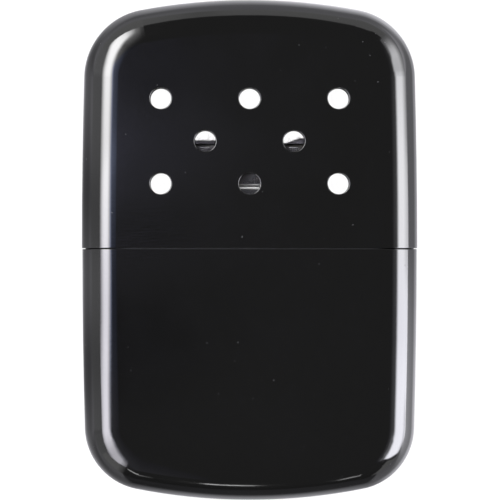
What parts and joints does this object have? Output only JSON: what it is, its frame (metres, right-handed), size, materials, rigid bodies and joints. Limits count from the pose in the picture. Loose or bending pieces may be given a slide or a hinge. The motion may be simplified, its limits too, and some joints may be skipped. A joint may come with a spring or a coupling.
{
  "type": "catalytic hand warmer",
  "caption": "Flat pocket hand warmer: cotton-filled fuel tank, pull-off catalytic burner over its mouth and a slip-on vented lid, glossy black outside.",
  "frame": {"origin": "centre of the warmer's footprint on the surface it lies on, at its flat back", "axes": "+Y along its length towards the crown of the lid, +Z out of its front face, +X across its width"},
  "size_m": [0.0672, 0.1, 0.014],
  "materials": {
    "case_paint": "gloss",
    "bright_plating": "polished",
    "steel_gauze": "satin",
    "catalyst_fibre": "matte",
    "cotton": "matte"
  },
  "bodies": {
    "tank": {"tank_shell": "case_paint", "tank_collar": "bright_plating", "filler_neck": "bright_plating", "cotton_retainer": "bright_plating", "cotton_wad_top": "cotton", "cotton_wad_left": "cotton", "cotton_wad_right": "cotton"},
    "lid": {"lid_shell": "case_paint"},
    "burner": {"burner_skirt": "bright_plating", "burner_cage": "bright_plating", "burner_gauze_floor": "steel_gauze", "burner_gauze_sleeve": "steel_gauze", "catalyst_pad": "catalyst_fibre"}
  },
  "joints": [
    {"name": "lid_slide", "type": "slide", "parent": "tank", "child": "lid", "axis": [0, 1, 0], "range_m": [0, 0.045]},
    {"name": "burner_slide", "type": "slide", "parent": "tank", "child": "burner", "axis": [0, 1, 0], "range_m": [0, 0.015]}
  ]
}
